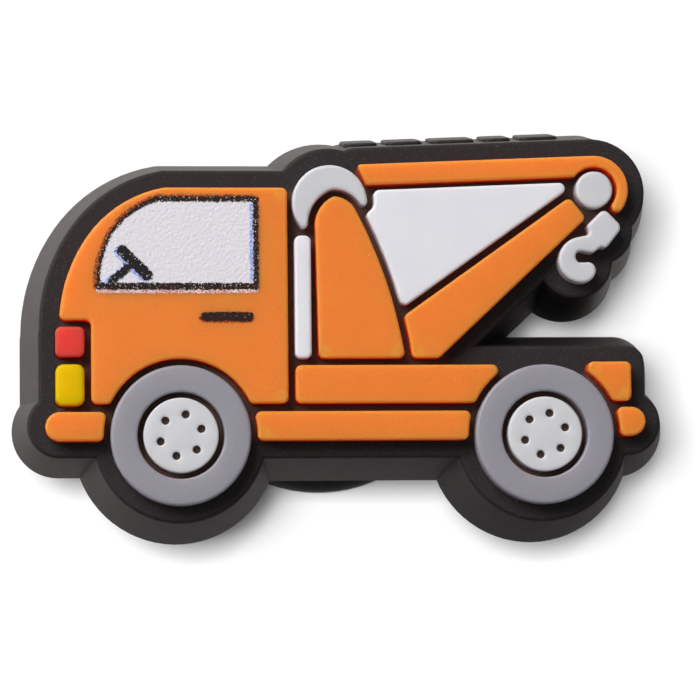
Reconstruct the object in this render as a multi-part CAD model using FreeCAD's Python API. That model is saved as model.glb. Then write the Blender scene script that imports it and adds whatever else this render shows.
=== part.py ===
# A soft shoe charm, moulded as a small recovery truck seen from its side.
# Coloured pieces are seated in a thick black backing, and a peg behind it goes
# through the shoe's hole: a neck, and a wide button that holds it there.
# All lengths are millimetres. The side view is drawn with x from the front
# wheel's centre towards the tail and y up from the line of the axles. The whole
# charm then moves so that the middle of the button's foot is the origin.
import FreeCAD, Part
import math
import os

# Heights, from the button's foot to the top of the coloured pieces
BUTTON_THICKNESS = 1.6
NECK_LENGTH = 4.5
BACKING_THICKNESS = 4.5
RELIEF = 0.9
SEAT_DEPTH = 0.35
SEAT_GAP = 0.03
LEVEL_TOLERANCE = 0.01
PRINT_THICKNESS = 0.04
PRINT_GAP = 0.02
OVERRUN = 1.0

# The peg, and its place behind and above the front wheel's centre
BUTTON_RADIUS = 6.8
BUTTON_EDGE_RADIUS = 0.6
NECK_RADIUS = 3.5
NECK_FLARE = 0.4
NECK_SOCKET_DEPTH = 0.8
PEG_BEHIND_WHEEL = 6.87
PEG_OVER_AXLES = 4.79

# The backing's rim round the coloured pieces, and how far its walls spread
LOWER_BORDER = 0.70
UPPER_BORDER = 0.84
BUMPER_BORDER = 0.76
DRAFT_RUN = 0.80
SHORT_DRAFT_RUN = 0.67
RIM_ROUND = 0.15
FRONT_HALO_LIFT = 0.10
DECK_HALO_HEIGHT = 1.85

# What the coloured pieces share
CHANNEL = 0.31
CORNER_ROUND = 0.26
EDGE_ROUND = 0.13

# Wheels
WHEELBASE = 16.0
HUB_RADIUS = 1.64
HUB_CHANNEL = 0.26
TYRE_WIDTH = 1.17
TYRE_LIP_ROUND = 0.26
ARCH_CHANNEL = 0.29
BOLT_RADIUS = 0.18
BOLT_CIRCLE_RADIUS = 0.93
BOLT_COUNT = 6
FIRST_BOLT_ANGLE = 17.0

# Cab
CAB_FLOOR = 1.38
CAB_BACK = 4.72
CAB_LENGTH = 10.01
CAB_HEIGHT = 9.50
SCREEN_LENGTH = 4.62
SCREEN_HEIGHT = 6.07
SCREEN_END_SLOPE = 10.0
NOSE_OVERHANG = 1.39
NOSE_CLEARANCE = 3.67

# Lamps in front of the cab, and the rail along the sill with its bumpers
LAMP_WIDTH = 1.28
LAMP_CHANNEL = 0.28
RED_LAMP_HEIGHT = 1.33
YELLOW_LAMP_HEIGHT = 1.83
SILL_TOP = 1.04
SILL_HEIGHT = 1.28
FRONT_BUMPER_REACH = 5.90
REAR_BUMPER_REACH = 4.48
REAR_BUMPER_LIFT = 0.14

# Bed rail and rear panel
BED_HEIGHT = 1.68
BED_END_BEFORE_WHEEL = 1.99
REAR_PANEL_HEIGHT = 1.74
REAR_PANEL_LIFT = 0.06
REAR_PANEL_LENGTH = 1.93
REAR_PANEL_START = 1.94

# Post, mast and the crescent cap over them
DECK_CHANNEL = 0.29
POST_WIDTH = 0.72
POST_HEIGHT = 5.41
MAST_WIDTH = 3.82
MAST_HEIGHT = 7.15
MAST_SHARES = (
    (0.0, 0.0),
    (-0.028, 0.795),
    ((0.055, 0.947), (0.19, 1.0)),
    ((0.324, 0.98), (0.427, 0.929)),
    ((0.737, 0.5545), (1.0, 0.0)),
)
CAP_RADIUS = 1.66
CAP_FROM_MAST = 0.54
CAP_OVER_DECK = 6.87
CAP_TIP_ROUND = 0.17
CAP_FOOT_SHARES = ((-0.84, -0.72), (0.97, -0.22))

# Sheave at the boom's tip, the arm that curls over it, and its end's angle
SHEAVE_RADIUS = 0.82
SHEAVE_FROM_MAST = 12.28
SHEAVE_OVER_DECK = 7.45
SHEAVE_CHANNEL = 0.20
CURL_WIDTH = 0.50
CURL_END_ANGLE = -36.0
CURL_HEEL_RADIUS = 0.70
CURL_HEEL_SHARES = (0.40, 0.34)
ARM_BEYOND_CAP = 1.20
ARM_FROM_CAP = 0.13
ARM_DEPTH = 0.91
ARM_FALL = 0.41
ARM_END_SLANT = 0.42

# Boom and the cable panel between boom, arm and mast
BOOM_UNDER_MAST = 0.28
BOOM_TIP_BEFORE_SHEAVE = 0.37
BOOM_TIP_BELOW_SHEAVE = 0.33
BOOM_SHARES = (
    (0.0, 0.0),
    (0.21, 0.0),
    (1.0, 0.869),
    (0.912, 1.0),
    (0.0, 0.24),
)
ARM_CHANNEL = 0.24
PANEL_TIP_BEFORE_SHEAVE = 0.89

# Hook under the sheave
HOOK_WIDTH = 2.74
HOOK_HEIGHT = 3.15
HOOK_BEYOND_SHEAVE = 1.12
HOOK_BELOW_SHEAVE = 0.96
HOOK_FROM_BOOM = 0.10
HOOK_SHARES = (
    (0.48, 0.81),
    (0.69, 0.99),
    ((0.755, 1.005), (0.82, 0.98)),
    (0.98, 0.835),
    ((1.006, 0.77), (0.983, 0.706)),
    (0.81, 0.515),
    ((0.76, 0.49), (0.69, 0.503)),
    ((0.62, 0.45), (0.555, 0.415)),
    ((0.445, 0.43), (0.345, 0.445)),
    ((0.275, 0.363), (0.33, 0.28)),
    (0.435, 0.28),
    ((0.565, 0.25), (0.603, 0.155)),
    ((0.51, 0.028), (0.35, -0.003)),
    ((0.10, 0.10), (0.0, 0.315)),
    ((0.092, 0.525), (0.305, 0.633)),
    (0.435, 0.655),
    ((0.50, 0.71), (0.47, 0.765)),
)
HOOK_BLOCK_SHARES = (0.735, 0.75)
HOOK_BLOCK_RADIUS = 0.72
HOOK_BOWL_SHARES = (0.315, 0.33)
HOOK_BOWL_RADIUS = 0.95

# Prints on the cab's side
WINDOW_LENGTH = 6.66
WINDOW_HEIGHT = 3.54
WINDOW_FROM_BACK = 1.54
WINDOW_FROM_ROOF = 0.65
WINDOW_SHARES = (
    (0.0, 0.0),
    ((0.0175, 0.30), (0.078, 0.59)),
    ((0.20, 0.835), (0.375, 1.0)),
    (1.0, 1.0),
    (1.0, 0.0),
)
OUTLINE_FRONT_WIDTH = 0.20
OUTLINE_BACK_WIDTH = 0.26
OUTLINE_TOP_WIDTH = 0.25
OUTLINE_FOOT_WIDTH = 0.31
OUTLINE_ROUND = 0.14
STEERING_BAR_WIDTH = 0.48
STEERING_BAR_SHARES = ((0.142, 0.396), (0.304, 0.092))
STEERING_COLUMN_WIDTH = 0.34
STEERING_COLUMN_SHARES = ((0.177, 0.184), (0.07, 0.015))
HANDLE_LENGTH = 2.30
HANDLE_WIDTH = 0.40
HANDLE_ROUND = 0.18
HANDLE_FROM_BACK = 1.51
HANDLE_BELOW_WINDOW = 1.30

# Plain raised pads in a row on the wall over the arm, from the arm's near end
PAD_LENGTHS = (1.49, 1.63, 1.95, 1.25, 1.73)
PAD_SPACING = 0.39
PAD_HEIGHT = 2.7
PAD_RELIEF = 0.15
PAD_ROUND = 0.35
PAD_EDGE_ROUND = 0.09
PAD_ROW_START = -0.30
PAD_FROM_RIM = 1.3

# Levels and places that follow from the sizes above
BACK = BUTTON_THICKNESS + NECK_LENGTH
RIM = BACK + BACKING_THICKNESS
SEAT = RIM - SEAT_DEPTH
TOP = RIM + RELIEF
TYRE_HOLE_RADIUS = HUB_RADIUS + HUB_CHANNEL
TYRE_RADIUS = TYRE_HOLE_RADIUS + TYRE_WIDTH
ARCH_RADIUS = TYRE_RADIUS + ARCH_CHANNEL
SILL_FOOT = SILL_TOP - SILL_HEIGHT
CAB_FRONT = CAB_BACK - CAB_LENGTH
NOSE_FOOT = CAB_FLOOR + NOSE_CLEARANCE
LEG_FRONT = CAB_FRONT + NOSE_OVERHANG
BED_START = CAB_BACK + CHANNEL
BED_LENGTH = WHEELBASE - BED_END_BEFORE_WHEEL - BED_START
DECK = CAB_FLOOR + BED_HEIGHT + DECK_CHANNEL
MAST_START = BED_START + POST_WIDTH + CHANNEL
SHEAVE_X = MAST_START + SHEAVE_FROM_MAST
SHEAVE_Y = DECK + SHEAVE_OVER_DECK
CURL_HOLE_RADIUS = SHEAVE_RADIUS + SHEAVE_CHANNEL
CURL_RADIUS = CURL_HOLE_RADIUS + CURL_WIDTH
ARM_TOP = SHEAVE_Y + CURL_RADIUS
CAP_X = MAST_START + CAP_FROM_MAST
CAP_Y = DECK + CAP_OVER_DECK
ARM_NEAR = CAP_X + ARM_BEYOND_CAP
BOOM_START = MAST_START + MAST_WIDTH - BOOM_UNDER_MAST
BOOM_LENGTH = SHEAVE_X - BOOM_TIP_BEFORE_SHEAVE - BOOM_START
BOOM_RISE = SHEAVE_OVER_DECK - BOOM_TIP_BELOW_SHEAVE
HOOK_LEFT = SHEAVE_X + HOOK_BEYOND_SHEAVE - HOOK_WIDTH
HOOK_FOOT = SHEAVE_Y - HOOK_BELOW_SHEAVE - HOOK_HEIGHT
WINDOW_LEFT = CAB_BACK - WINDOW_FROM_BACK - WINDOW_LENGTH
WINDOW_FOOT = CAB_FLOOR + CAB_HEIGHT - WINDOW_FROM_ROOF - WINDOW_HEIGHT


def spot(x, y, z=0):
    return FreeCAD.Vector(x, y, z)


def circle_point(x, y, radius, angle):
    turn = math.radians(angle)
    return spot(x + radius * math.cos(turn), y + radius * math.sin(turn))


def share_point(box, share):
    """The point at a share of a box, given as its left, foot, length and height."""
    left, foot, length, height = box
    return spot(left + length * share[0], foot + height * share[1])


def outline(box, steps):
    """A face drawn in shares of a box. A step with two points is an arc through the first."""
    start = share_point(box, steps[0])
    here = start
    edges = []
    for step in steps[1:]:
        if isinstance(step[0], tuple):
            end = share_point(box, step[1])
            edges.append(Part.Arc(here, share_point(box, step[0]), end).toShape())
        else:
            end = share_point(box, step)
            edges.append(Part.LineSegment(here, end).toShape())
        here = end
    edges.append(Part.LineSegment(here, start).toShape())
    return Part.Face(Part.Wire(edges))


def polygon(points):
    return Part.Face(Part.makePolygon(points + points[:1]))


def oblong(left, foot, length, height):
    right = left + length
    top = foot + height
    return polygon([spot(left, foot), spot(right, foot), spot(right, top), spot(left, top)])


def disc(x, y, radius):
    return Part.Face(Part.Wire(Part.makeCircle(radius, spot(x, y))))


def ring(x, y, radius, hole_radius):
    return disc(x, y, radius).cut(disc(x, y, hole_radius)).Faces[0]


def largest(shape):
    return max(shape.Faces, key=lambda face: face.Area)


def grown(face, distance):
    return largest(face.makeOffset2D(distance))


def trimmed(face, tools):
    """The face's largest part that is left clear of the tools."""
    return largest(face.cut(tools))


def softened(face, radius=CORNER_ROUND):
    """The face with its outer corners, then its inner corners, rounded."""
    outside = grown(grown(face, -radius), radius)
    return grown(grown(outside, radius), -radius)


def bar(start, end, width):
    """A bar with round ends between two points."""
    along = end.sub(start).normalize()
    side = spot(-along.y, along.x).multiply(width / 2)
    cap = FreeCAD.Vector(along).multiply(width / 2)
    edges = [
        Part.LineSegment(start.sub(side), end.sub(side)).toShape(),
        Part.Arc(end.sub(side), end.add(cap), end.add(side)).toShape(),
        Part.LineSegment(end.add(side), start.add(side)).toShape(),
        Part.Arc(start.add(side), start.sub(cap), start.sub(side)).toShape(),
    ]
    return Part.Face(Part.Wire(edges))


def tangent_arc(start, heading, end):
    """The arc that leaves its start at a heading, in radians."""
    chord = end.sub(start)
    lean = heading - math.atan2(chord.y, chord.x)
    bulge = spot(-chord.y, chord.x).multiply(math.tan(lean / 2) / 2)
    middle = start.add(end).multiply(1 / 2)
    return Part.Arc(start, middle.add(bulge), end).toShape()


def rising_curve(foot, head, slope):
    """Two tangent arcs that leave the foot straight up and reach the head at a slope, in degrees."""
    end_turn = math.radians(slope)
    end_way = spot(math.cos(end_turn), math.sin(end_turn))
    whole = head.sub(foot)
    opening = 1 - end_way.y
    both = whole.dot(end_way.add(spot(0, 1)))
    reach = (math.sqrt(both ** 2 + 2 * opening * whole.dot(whole)) - both) / (2 * opening)
    low = foot.add(spot(0, reach))
    high = head.sub(end_way.multiply(reach))
    joint = low.add(high).multiply(1 / 2)
    heading = math.atan2(high.y - low.y, high.x - low.x)
    return [tangent_arc(foot, math.pi / 2, joint), tangent_arc(joint, heading, head)]


def prism(face, low, high):
    solid = face.extrude(spot(0, 0, high - low))
    solid.translate(spot(0, 0, low))
    return solid


def lies_at(shape, level):
    box = shape.BoundBox
    return max(abs(box.ZMin - level), abs(box.ZMax - level)) < LEVEL_TOLERANCE


def edges_at(solid, level):
    """The edges that lie flat at one level."""
    return [edge for edge in solid.Edges if lies_at(edge, level)]


def largest_at(solid, level):
    flat = [face for face in solid.Faces if lies_at(face, level)]
    return max(flat, key=lambda face: face.Area)


def moulded(face):
    """A coloured piece: it stands in its seat and its top edges are rounded."""
    solid = prism(face, SEAT, TOP)
    return solid.makeFillet(EDGE_ROUND, edges_at(solid, TOP))


def joined(faces):
    """One face from several that overlap, made through thin blocks so that their sides don't matter."""
    blocks = [face.extrude(spot(0, 0, OVERRUN)) for face in faces]
    whole = blocks[0].multiFuse(blocks[1:]).removeSplitter()
    return largest_at(whole, 0)


def skirt(face, border, spread=DRAFT_RUN):
    """The backing under one face: a rounded rim, and walls that spread to the back."""
    rim = grown(face, border).OuterWire
    rim.translate(spot(0, 0, RIM))
    foot = grown(face, border + spread).OuterWire
    foot.translate(spot(0, 0, BACK))
    block = Part.makeLoft([foot, rim], True, True)
    return block.makeFillet(RIM_ROUND, edges_at(block, RIM))


def wheel_places():
    return (("front", 0.0), ("rear", WHEELBASE))


def arches():
    return [disc(x, 0, ARCH_RADIUS) for end, x in wheel_places()]


def wheel_faces():
    faces = {}
    for end, x in wheel_places():
        faces[end + "_tyre"] = ring(x, 0, TYRE_RADIUS, TYRE_HOLE_RADIUS)
        faces[end + "_hub"] = disc(x, 0, HUB_RADIUS)
    return faces


def cab_side():
    """The cab's outline before the lamps' recess and the wheel arch are taken out."""
    roof = CAB_FLOOR + CAB_HEIGHT
    screen_foot = spot(CAB_FRONT, roof - SCREEN_HEIGHT)
    screen_head = spot(CAB_FRONT + SCREEN_LENGTH, roof)
    corners = [
        screen_head,
        spot(CAB_BACK, roof),
        spot(CAB_BACK, CAB_FLOOR),
        spot(CAB_FRONT, CAB_FLOOR),
        screen_foot,
    ]
    edges = rising_curve(screen_foot, screen_head, SCREEN_END_SLOPE)
    edges += Part.makePolygon(corners).Edges
    return Part.Face(Part.Wire(edges))


def cab_faces():
    recess = oblong(
        CAB_FRONT - OVERRUN, CAB_FLOOR - OVERRUN, NOSE_OVERHANG + OVERRUN, NOSE_CLEARANCE + OVERRUN
    )
    return {"cab_panel": softened(trimmed(cab_side(), arches() + [recess]))}


def lamp_faces():
    left = LEG_FRONT - LAMP_CHANNEL - LAMP_WIDTH
    red_foot = NOSE_FOOT - LAMP_CHANNEL - RED_LAMP_HEIGHT
    yellow_foot = red_foot - CHANNEL - YELLOW_LAMP_HEIGHT
    return {
        "red_lamp": softened(oblong(left, red_foot, LAMP_WIDTH, RED_LAMP_HEIGHT)),
        "yellow_lamp": softened(oblong(left, yellow_foot, LAMP_WIDTH, YELLOW_LAMP_HEIGHT)),
    }


def bumper_blank(wheel_x, reach, lift=0.0):
    """A bar along the sill, from a wheel's centre out to a round end."""
    radius = SILL_HEIGHT / 2
    middle = SILL_FOOT + radius + lift
    inward = math.copysign(radius, reach)
    return bar(spot(wheel_x, middle), spot(wheel_x + reach - inward, middle), SILL_HEIGHT)


def sill_faces():
    front = bumper_blank(0.0, -FRONT_BUMPER_REACH)
    rear = bumper_blank(WHEELBASE, REAR_BUMPER_REACH, REAR_BUMPER_LIFT)
    rail = oblong(0.0, SILL_FOOT, WHEELBASE, SILL_HEIGHT)
    return {
        "front_bumper": softened(trimmed(front, arches())),
        "rear_bumper": softened(trimmed(rear, arches())),
        "lower_rail": softened(trimmed(rail, arches())),
    }


def bed_faces():
    rail = oblong(BED_START, CAB_FLOOR, BED_LENGTH, BED_HEIGHT)
    panel_start = WHEELBASE + REAR_PANEL_START
    panel_foot = CAB_FLOOR + REAR_PANEL_LIFT
    panel = oblong(panel_start, panel_foot, REAR_PANEL_LENGTH, REAR_PANEL_HEIGHT)
    return {
        "upper_rail": softened(trimmed(rail, arches())),
        "rear_panel": softened(trimmed(panel, arches())),
    }


def mast_face():
    box = (MAST_START, DECK, MAST_WIDTH, MAST_HEIGHT)
    return softened(outline(box, MAST_SHARES))


def cap_face(mast):
    """A crescent: a disc with the mast's head and all below its two tips taken out."""
    whole = disc(CAP_X, CAP_Y, CAP_RADIUS)
    box = (CAP_X, CAP_Y, CAP_RADIUS, CAP_RADIUS)
    left, right = [share_point(box, share) for share in CAP_FOOT_SHARES]
    fall = (right.y - left.y) / (right.x - left.x) * CAP_RADIUS
    drop = spot(0, -2 * CAP_RADIUS)
    near = left.sub(spot(CAP_RADIUS, fall))
    far = right.add(spot(CAP_RADIUS, fall))
    below = polygon([near.add(drop), far.add(drop), far, near])
    return softened(trimmed(whole, [grown(mast, CHANNEL), below]), CAP_TIP_ROUND)


def arm_face():
    """A bar that narrows from the cap to the sheave and curls down round it."""
    lower = ARM_TOP - ARM_DEPTH
    beam = polygon([
        spot(ARM_NEAR + ARM_END_SLANT, lower - ARM_FALL),
        spot(SHEAVE_X, lower),
        spot(SHEAVE_X, ARM_TOP),
        spot(ARM_NEAR, ARM_TOP - ARM_FALL),
    ])
    end_angle = CURL_END_ANGLE
    middle_angle = (90 + end_angle) / 2
    tip = circle_point(SHEAVE_X, SHEAVE_Y, CURL_HOLE_RADIUS + CURL_WIDTH / 2, end_angle)
    turn = math.radians(end_angle)
    tip = tip.add(spot(math.sin(turn), -math.cos(turn)).multiply(CURL_WIDTH / 2))
    curl = Part.Face(Part.Wire([
        Part.LineSegment(spot(SHEAVE_X, SHEAVE_Y + CURL_HOLE_RADIUS), spot(SHEAVE_X, ARM_TOP)).toShape(),
        Part.Arc(
            spot(SHEAVE_X, ARM_TOP),
            circle_point(SHEAVE_X, SHEAVE_Y, CURL_RADIUS, middle_angle),
            circle_point(SHEAVE_X, SHEAVE_Y, CURL_RADIUS, end_angle),
        ).toShape(),
        Part.Arc(
            circle_point(SHEAVE_X, SHEAVE_Y, CURL_RADIUS, end_angle),
            tip,
            circle_point(SHEAVE_X, SHEAVE_Y, CURL_HOLE_RADIUS, end_angle),
        ).toShape(),
        Part.Arc(
            circle_point(SHEAVE_X, SHEAVE_Y, CURL_HOLE_RADIUS, end_angle),
            circle_point(SHEAVE_X, SHEAVE_Y, CURL_HOLE_RADIUS, middle_angle),
            spot(SHEAVE_X, SHEAVE_Y + CURL_HOLE_RADIUS),
        ).toShape(),
    ]))
    whole = joined([beam, curl])
    clear = [disc(SHEAVE_X, SHEAVE_Y, CURL_HOLE_RADIUS), disc(CAP_X, CAP_Y, CAP_RADIUS + ARM_FROM_CAP)]
    return softened(trimmed(whole, clear), EDGE_ROUND)


def boom_blank():
    return outline((BOOM_START, DECK, BOOM_LENGTH, BOOM_RISE), BOOM_SHARES)


def hook_face():
    return softened(outline((HOOK_LEFT, HOOK_FOOT, HOOK_WIDTH, HOOK_HEIGHT), HOOK_SHARES), EDGE_ROUND)


def panel_face(mast, cap, arm, boom):
    """The white panel fills what its four neighbours leave, a channel away from each."""
    far = SHEAVE_X - PANEL_TIP_BEFORE_SHEAVE
    blank = oblong(MAST_START, DECK, far - MAST_START, ARM_TOP - DECK)
    tools = [grown(face, CHANNEL) for face in (mast, cap, boom)]
    tools.append(grown(arm, ARM_CHANNEL))
    return softened(trimmed(blank, tools))


def crane_faces():
    mast = mast_face()
    cap = cap_face(mast)
    arm = arm_face()
    hook = hook_face()
    blank = boom_blank()
    boom = softened(trimmed(blank, [grown(mast, CHANNEL), grown(hook, HOOK_FROM_BOOM)]))
    post = oblong(BED_START, DECK, POST_WIDTH, POST_HEIGHT)
    return {
        "post": softened(post),
        "mast": mast,
        "crescent_cap": cap,
        "top_arm": arm,
        "boom": boom,
        "cable_panel": panel_face(mast, cap, arm, blank),
        "sheave": disc(SHEAVE_X, SHEAVE_Y, SHEAVE_RADIUS),
        "hook": hook,
    }


def skirts(faces):
    """One drafted block under each part of the truck. Together they are the backing."""
    lower = [disc(x, 0, TYRE_RADIUS) for end, x in wheel_places()]
    lower.append(oblong(0.0, SILL_FOOT, WHEELBASE, SILL_HEIGHT))
    red = faces["red_lamp"].BoundBox
    lower.append(softened(oblong(red.XMin, SILL_TOP, LAMP_WIDTH, red.YMax - SILL_TOP)))
    rear_end = WHEELBASE + REAR_PANEL_START + REAR_PANEL_LENGTH
    lower.append(oblong(BED_START, CAB_FLOOR, rear_end - BED_START, DECK_HALO_HEIGHT))
    lower.append(boom_blank())

    hook_box = (HOOK_LEFT, HOOK_FOOT, HOOK_WIDTH, HOOK_HEIGHT)
    block = share_point(hook_box, HOOK_BLOCK_SHARES)
    bowl = share_point(hook_box, HOOK_BOWL_SHARES)
    hook = [disc(block.x, block.y, HOOK_BLOCK_RADIUS), disc(bowl.x, bowl.y, HOOK_BOWL_RADIUS)]

    upper = [cab_side()]
    upper.append(disc(CAP_X, CAP_Y, CAP_RADIUS))
    heel = share_point((SHEAVE_X, SHEAVE_Y, CURL_RADIUS, CURL_RADIUS), CURL_HEEL_SHARES)
    upper.append(disc(heel.x, heel.y, CURL_HEEL_RADIUS))
    upper.append(polygon([
        spot(ARM_NEAR, ARM_TOP - ARM_FALL - ARM_DEPTH),
        spot(SHEAVE_X, SHEAVE_Y),
        spot(SHEAVE_X, ARM_TOP),
        spot(ARM_NEAR, ARM_TOP - ARM_FALL),
    ]))
    curl = disc(SHEAVE_X, SHEAVE_Y, CURL_RADIUS)
    front_bumper = bumper_blank(0.0, -FRONT_BUMPER_REACH, FRONT_HALO_LIFT)
    rear_bumper = bumper_blank(WHEELBASE, REAR_BUMPER_REACH, REAR_BUMPER_LIFT)
    inner = [grown(faces[node], CHANNEL) for node in ("post", "mast", "cable_panel")]
    return (
        [skirt(face, LOWER_BORDER) for face in lower]
        + [skirt(face, LOWER_BORDER, SHORT_DRAFT_RUN) for face in hook]
        + [skirt(face, UPPER_BORDER) for face in upper]
        + [skirt(curl, UPPER_BORDER, SHORT_DRAFT_RUN)]
        + [skirt(front_bumper, BUMPER_BORDER, SHORT_DRAFT_RUN), skirt(rear_bumper, BUMPER_BORDER)]
        + [prism(face, BACK, RIM) for face in inner]
    )


def wall_pads():
    """The plain pads, drawn flat on the wall over the arm and raised out of it."""
    start = spot(ARM_NEAR, ARM_TOP - ARM_FALL)
    along = spot(SHEAVE_X, ARM_TOP).sub(start).normalize()
    outward = spot(-along.y, along.x)
    down = FreeCAD.Vector(outward).multiply(DRAFT_RUN).sub(spot(0, 0, BACKING_THICKNESS)).normalize()
    corner = start.add(outward.multiply(UPPER_BORDER)).add(spot(0, 0, RIM))
    place = FreeCAD.Placement(corner, FreeCAD.Rotation(along, down, along.cross(down), "ZXY"))
    pads = []
    left = PAD_ROW_START
    for length in PAD_LENGTHS:
        face = softened(oblong(left, PAD_FROM_RIM, length, PAD_HEIGHT), PAD_ROUND)
        pad = prism(face, -OVERRUN, PAD_RELIEF)
        pad = pad.makeFillet(PAD_EDGE_ROUND, edges_at(pad, PAD_RELIEF))
        pad.Placement = place.multiply(pad.Placement)
        pads.append(pad)
        left += length + PAD_SPACING
    return pads


def backing(faces):
    blocks = skirts(faces) + wall_pads()
    body = blocks[0].multiFuse(blocks[1:]).removeSplitter()
    seats = [prism(grown(face, SEAT_GAP), SEAT, RIM + OVERRUN) for face in faces.values()]
    socket = Part.makeCylinder(
        NECK_RADIUS + SEAT_GAP,
        NECK_SOCKET_DEPTH + OVERRUN,
        spot(PEG_BEHIND_WHEEL, PEG_OVER_AXLES, BACK - OVERRUN),
    )
    return body.cut(seats + [socket])


def tyre(face):
    """A wheel's ring, with a rounder lip round the hub than at its outer edge."""
    solid = prism(face, SEAT, TOP)
    for pick, radius in ((max, EDGE_ROUND), (min, TYRE_LIP_ROUND)):
        edge = pick(edges_at(solid, TOP), key=lambda flat: flat.Length)
        solid = solid.makeFillet(radius, [edge])
    return solid


def bolt_holes(x):
    """Round holes on a circle, right through a hub."""
    holes = []
    for number in range(BOLT_COUNT):
        angle = FIRST_BOLT_ANGLE + number * 360 / BOLT_COUNT
        foot = circle_point(x, 0, BOLT_CIRCLE_RADIUS, angle)
        foot.z = SEAT - OVERRUN
        holes.append(Part.makeCylinder(BOLT_RADIUS, SEAT_DEPTH + RELIEF + 2 * OVERRUN, foot))
    return holes


def print_solids():
    """Thin films of ink on the cab: the window, its outline, the wheel in it and the handle."""
    box = (WINDOW_LEFT, WINDOW_FOOT, WINDOW_LENGTH, WINDOW_HEIGHT)
    window = outline(box, WINDOW_SHARES)
    outer_box = (
        WINDOW_LEFT - OUTLINE_FRONT_WIDTH,
        WINDOW_FOOT - OUTLINE_FOOT_WIDTH,
        WINDOW_LENGTH + OUTLINE_FRONT_WIDTH + OUTLINE_BACK_WIDTH,
        WINDOW_HEIGHT + OUTLINE_FOOT_WIDTH + OUTLINE_TOP_WIDTH,
    )
    outer = softened(outline(outer_box, WINDOW_SHARES), OUTLINE_ROUND)
    frame = outer.cut(grown(window, PRINT_GAP)).Faces[0]
    wheel_ends = [share_point(box, share) for share in STEERING_BAR_SHARES]
    column_ends = [share_point(box, share) for share in STEERING_COLUMN_SHARES]
    wheel = bar(wheel_ends[0], wheel_ends[1], STEERING_BAR_WIDTH)
    column = bar(column_ends[0], column_ends[1], STEERING_COLUMN_WIDTH)
    steering = joined([wheel, column])
    handle_box = oblong(
        CAB_BACK - HANDLE_FROM_BACK - HANDLE_LENGTH,
        WINDOW_FOOT - HANDLE_BELOW_WINDOW - HANDLE_WIDTH,
        HANDLE_LENGTH,
        HANDLE_WIDTH,
    )
    handle = softened(handle_box, HANDLE_ROUND)
    film = TOP + PRINT_THICKNESS
    return {
        "window_print": prism(window, TOP, film),
        "outline_print": prism(frame, TOP, film),
        "steering_print": prism(steering, film, film + PRINT_THICKNESS),
        "handle_print": prism(handle, TOP, film),
    }


def neck():
    """The peg's neck, flared where it meets the button."""
    foot = BUTTON_THICKNESS
    head = BACK + NECK_SOCKET_DEPTH
    flare_radius = NECK_RADIUS + NECK_FLARE
    inset = NECK_FLARE * math.sqrt(1 / 2)
    centre = spot(flare_radius, 0, foot + NECK_FLARE)
    flare = Part.Arc(
        spot(flare_radius, 0, foot), centre.sub(spot(inset, 0, inset)), spot(NECK_RADIUS, 0, foot + NECK_FLARE)
    )
    profile = [
        Part.LineSegment(spot(0, 0, foot), spot(flare_radius, 0, foot)).toShape(),
        flare.toShape(),
        Part.LineSegment(spot(NECK_RADIUS, 0, foot + NECK_FLARE), spot(NECK_RADIUS, 0, head)).toShape(),
        Part.LineSegment(spot(NECK_RADIUS, 0, head), spot(0, 0, head)).toShape(),
        Part.LineSegment(spot(0, 0, head), spot(0, 0, foot)).toShape(),
    ]
    return Part.Face(Part.Wire(profile)).revolve(spot(0, 0), spot(0, 0, 1), 360)


def button():
    """The flat head, with a full soft edge all round."""
    solid = Part.makeCylinder(BUTTON_RADIUS, BUTTON_THICKNESS)
    rims = edges_at(solid, 0) + edges_at(solid, BUTTON_THICKNESS)
    return solid.makeFillet(BUTTON_EDGE_RADIUS, rims)


def peg_solids():
    place = spot(PEG_BEHIND_WHEEL, PEG_OVER_AXLES)
    solids = {"peg_neck": neck(), "peg_button": button()}
    for solid in solids.values():
        solid.translate(place)
    return solids


def build():
    faces = {}
    for group in (wheel_faces(), cab_faces(), lamp_faces(), sill_faces(), bed_faces(), crane_faces()):
        faces.update(group)
    solids = {node: moulded(face) for node, face in faces.items() if "tyre" not in node}
    for end, x in wheel_places():
        solids[end + "_tyre"] = tyre(faces[end + "_tyre"])
        solids[end + "_hub"] = solids[end + "_hub"].cut(bolt_holes(x))
    solids["backing"] = backing(faces)
    solids.update(print_solids())
    solids.update(peg_solids())
    return solids


os.makedirs("parts", exist_ok=True)
for node, solid in build().items():
    solid.translate(spot(-PEG_BEHIND_WHEEL, -PEG_OVER_AXLES))
    solid.exportStep("parts/" + node + ".step")
    print(node, solid.ShapeType, len(solid.Solids), solid.isValid(), round(solid.Volume, 3))
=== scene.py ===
# Looks for a soft shoe charm, moulded as a small recovery truck seen from its side.
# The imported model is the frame. It gives every piece its place, in metres, and this
# script dresses it: finishes for the moulded pieces, new wheels, lamps and prints, and
# the white paper, the lights and the camera of the photograph.
import math

import bpy
from bpy.props import FloatProperty, FloatVectorProperty, IntProperty, PointerProperty
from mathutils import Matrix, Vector, noise
from mathutils.bvhtree import BVHTree


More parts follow.
